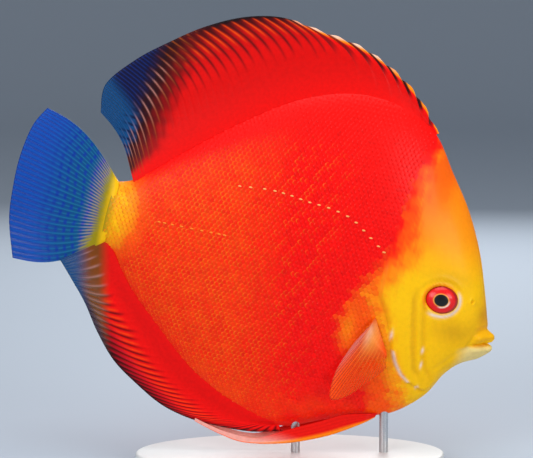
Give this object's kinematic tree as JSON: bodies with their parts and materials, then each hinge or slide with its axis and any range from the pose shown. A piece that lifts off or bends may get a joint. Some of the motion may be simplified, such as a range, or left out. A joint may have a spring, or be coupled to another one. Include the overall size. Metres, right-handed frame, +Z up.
{
  "type": "discus fish display model",
  "caption": "Life-size still model of a red and yellow discus fish, disc-shaped with tall swept fins, held nose down on a low oval stand.",
  "frame": {"origin": "centre of the underside of the stand's oval base plate", "axes": "+X towards the fish's head along its length, +Y towards the fish's left side, +Z up"},
  "size_m": [0.1615, 0.062, 0.1512],
  "materials": {
    "body_skin": "scarlet scaled skin turning yellow on the face, wet satin gloss",
    "fins": "thin rayed membrane, red at the root and dark to blue-grey at the margin, satin",
    "eyes": "red iris and black pupil under a clear polished dome",
    "stand_plate": "satin off-white powder coat on steel plate",
    "stand_rods": "fine brushed stainless steel"
  },
  "bodies": {
    "root": {"head": "body_skin", "upper_lip": "body_skin", "lower_jaw": "body_skin", "gill_cover_right": "body_skin", "gill_cover_left": "body_skin", "trunk": "body_skin", "tail_stalk": "body_skin", "dorsal_fin": "fins", "anal_fin": "fins", "tail_fin": "fins", "pectoral_fin_right": "fins", "pectoral_fin_left": "fins", "pelvic_fin_right": "fins", "pelvic_fin_left": "fins", "eye_right": "eyes", "eye_left": "eyes", "stand_base": "stand_plate", "stand_rod_front": "stand_rods", "stand_rod_rear": "stand_rods"}
  },
  "joints": []
}
